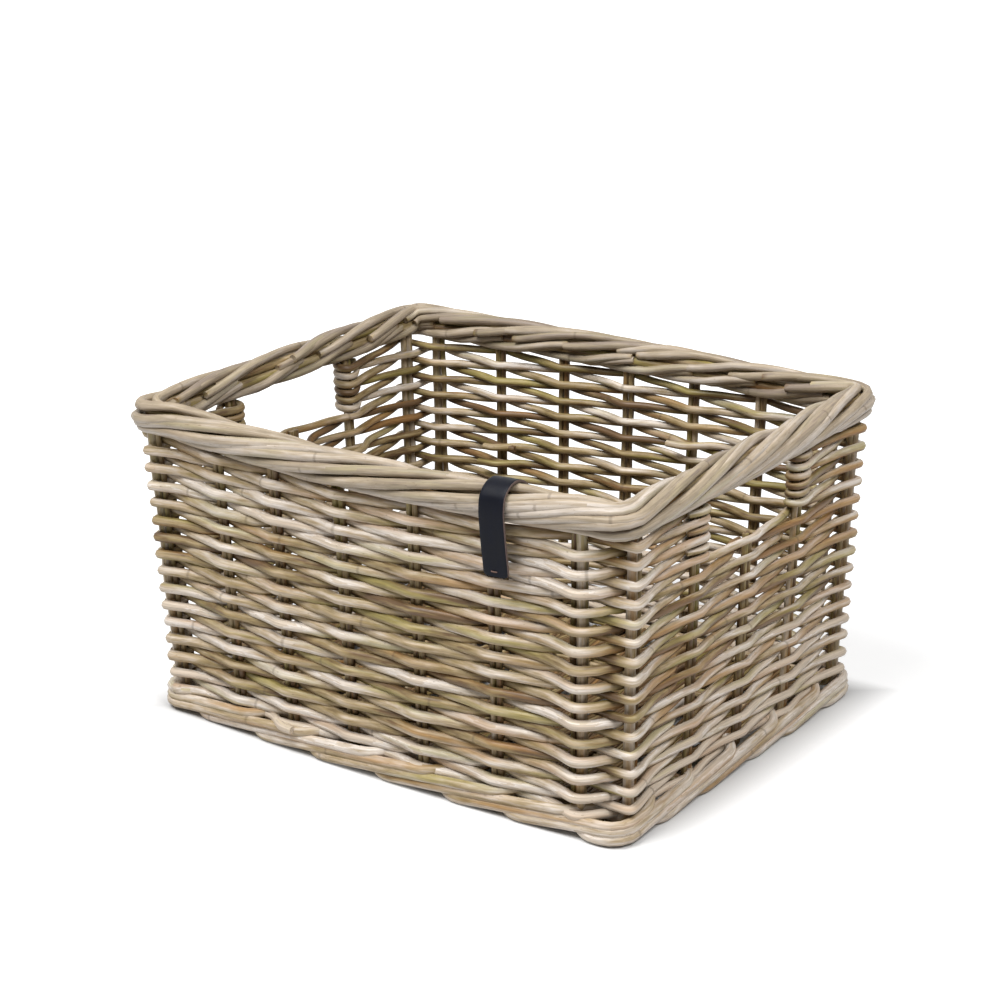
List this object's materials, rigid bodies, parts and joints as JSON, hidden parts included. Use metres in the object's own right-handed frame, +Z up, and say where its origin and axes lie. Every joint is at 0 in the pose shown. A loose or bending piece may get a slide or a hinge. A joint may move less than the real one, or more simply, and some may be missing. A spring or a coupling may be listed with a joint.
{
  "type": "bicycle basket",
  "caption": "Open rectangular basket of woven rattan rods on paired stakes, with a rolled border, a handle opening in each end and a folded strap tag.",
  "frame": {"origin": "centre of the basket's plan, on the surface that it stands on", "axes": "+X along the length to the right-hand handle, -Y towards the front wall with the strap, +Z up out of the open top"},
  "size_m": [0.46, 0.3719, 0.2551],
  "materials": {
    "weave": "unpeeled rattan rods, grey-beige to olive and brown, satin bark with node rings",
    "stakes": "unpeeled rattan rods in pairs, olive brown, satin",
    "border": "thick rattan rods rolled round the edge, pale beige, satin, cut ends darker",
    "foot": "thick rattan rods, grey-beige, satin",
    "base": "woven rattan rods, olive beige, satin",
    "strap": "smooth dark blue-black strap, half gloss, paler cut edges, no lettering"
  },
  "bodies": {
    "root": {"back_border": "border", "base_mat": "base", "cross_stake_1": "stakes", "cross_stake_2": "stakes", "cross_stake_3": "stakes", "cross_stake_4": "stakes", "cross_stake_5": "stakes", "cross_stake_6": "stakes", "cross_stake_7": "stakes", "foot_rod_lower": "foot", "foot_rod_upper": "foot", "front_border": "border", "left_handle_bar": "border", "long_stake_1": "stakes", "long_stake_2": "stakes", "long_stake_3": "stakes", "long_stake_4": "stakes", "long_stake_5": "stakes", "right_handle_bar": "border", "tag_strap": "strap", "weave_row_01": "weave", "weave_row_02": "weave", "weave_row_03": "weave", "weave_row_04": "weave", "weave_row_05": "weave", "weave_row_06": "weave", "weave_row_07": "weave", "weave_row_08": "weave", "weave_row_09": "weave", "weave_row_10": "weave", "weave_row_11": "weave", "weave_row_12": "weave", "weave_row_13": "weave", "weave_row_14": "weave", "weave_row_15": "weave", "weave_row_16": "weave", "weave_row_17": "weave", "weave_row_18": "weave", "weave_row_19": "weave", "weave_row_20": "weave", "weave_row_21": "weave", "weave_row_22": "weave", "weave_row_23": "weave", "weave_row_24": "weave", "weave_row_25_back": "weave", "weave_row_25_front": "weave", "weave_row_26_back": "weave", "weave_row_26_front": "weave", "weave_row_27_back": "weave", "weave_row_27_front": "weave", "weave_row_28_back": "weave", "weave_row_28_front": "weave", "weave_row_29_back": "weave", "weave_row_29_front": "weave", "weave_row_30_back": "weave", "weave_row_30_front": "weave"}
  },
  "joints": []
}
